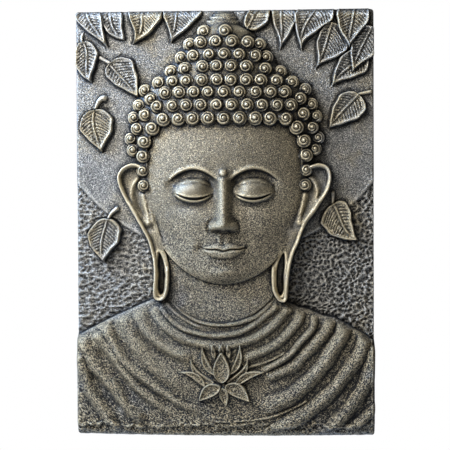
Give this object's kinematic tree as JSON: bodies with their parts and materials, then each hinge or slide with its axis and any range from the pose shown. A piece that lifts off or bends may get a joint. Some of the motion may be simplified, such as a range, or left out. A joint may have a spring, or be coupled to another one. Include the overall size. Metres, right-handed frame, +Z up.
{
  "type": "relief wall plaque",
  "caption": "Upright rectangular relief wall plaque: a calm buddha head with snail curls and long ears, robed shoulders, a lotus and bodhi leaves, in dark bronze with gold highlights.",
  "frame": {"origin": "centre of the flat back face", "axes": "+Z up along the plaque's height, +X to the right of someone facing the relief, +Y out of the back towards the wall; the relief faces -Y"},
  "size_m": [0.7, 0.1287, 1],
  "materials": {
    "bronze_finish": "dark bronze paint, semi-gloss, with gold dry-brushed over the raised parts"
  },
  "bodies": {
    "root": {"plaque": "bronze_finish"}
  },
  "joints": []
}
